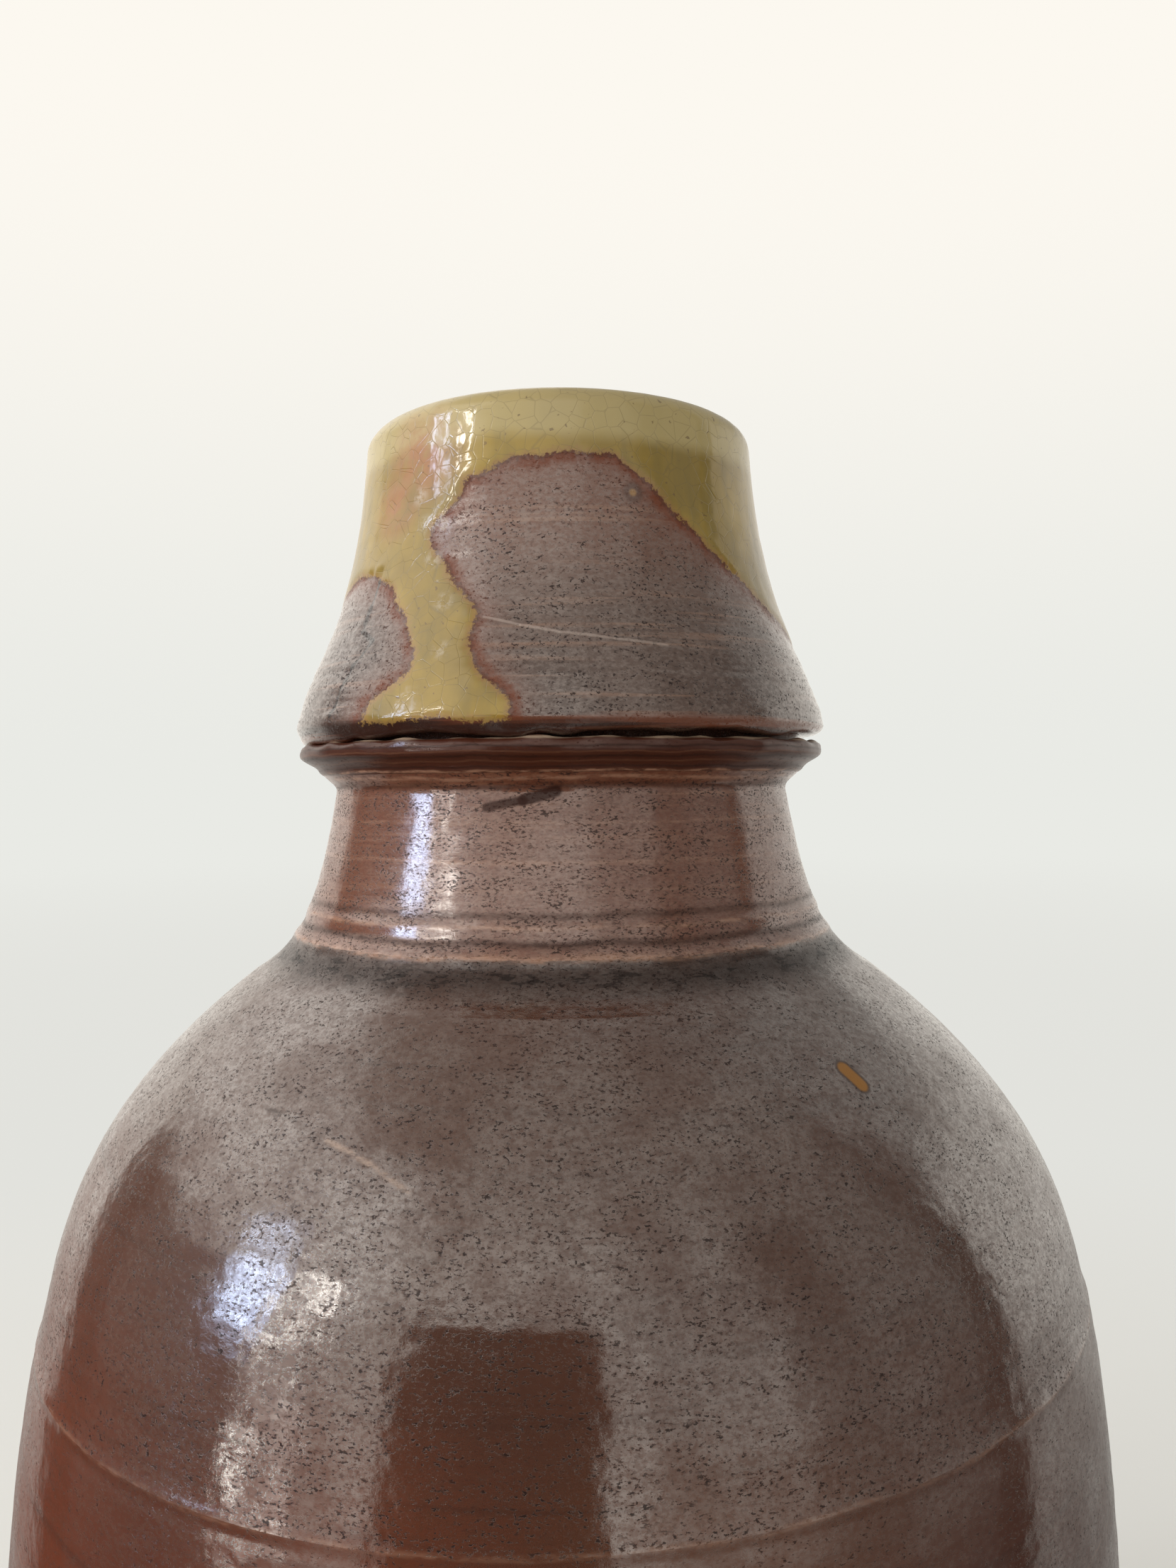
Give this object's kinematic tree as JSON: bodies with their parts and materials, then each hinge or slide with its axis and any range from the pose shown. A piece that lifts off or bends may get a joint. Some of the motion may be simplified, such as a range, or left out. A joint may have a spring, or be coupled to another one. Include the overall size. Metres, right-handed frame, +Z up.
{
  "type": "sake bottle",
  "caption": "Round-shouldered stoneware sake bottle with a waisted neck, a lip ring and a tapered mouth collar, glazed brown with yellow ash glaze round the mouth.",
  "frame": {"origin": "centre of the flat foot, on the surface the bottle stands on", "axes": "+Z up along the bottle's axis, -Y towards the glaze drip that faces the viewer, +X to the viewer's right"},
  "size_m": [0.111, 0.111, 0.1856],
  "materials": {
    "base_clay": "matte unglazed red-brown clay",
    "body_glaze": "semi-gloss speckled brown iron slip",
    "shoulder_glaze": "semi-gloss speckled brown iron slip with a grey sheen",
    "neck_glaze": "semi-gloss pinkish-brown iron slip",
    "lip_glaze": "gloss dark brown glaze with a pale edge",
    "collar_glaze": "gloss yellow-green ash glaze over purple-brown slip"
  },
  "bodies": {
    "root": {"base_disc": "base_clay", "lower_wall": "body_glaze", "shoulder": "shoulder_glaze", "neck": "neck_glaze", "lip_ring": "lip_glaze", "mouth_collar": "collar_glaze"}
  },
  "joints": []
}
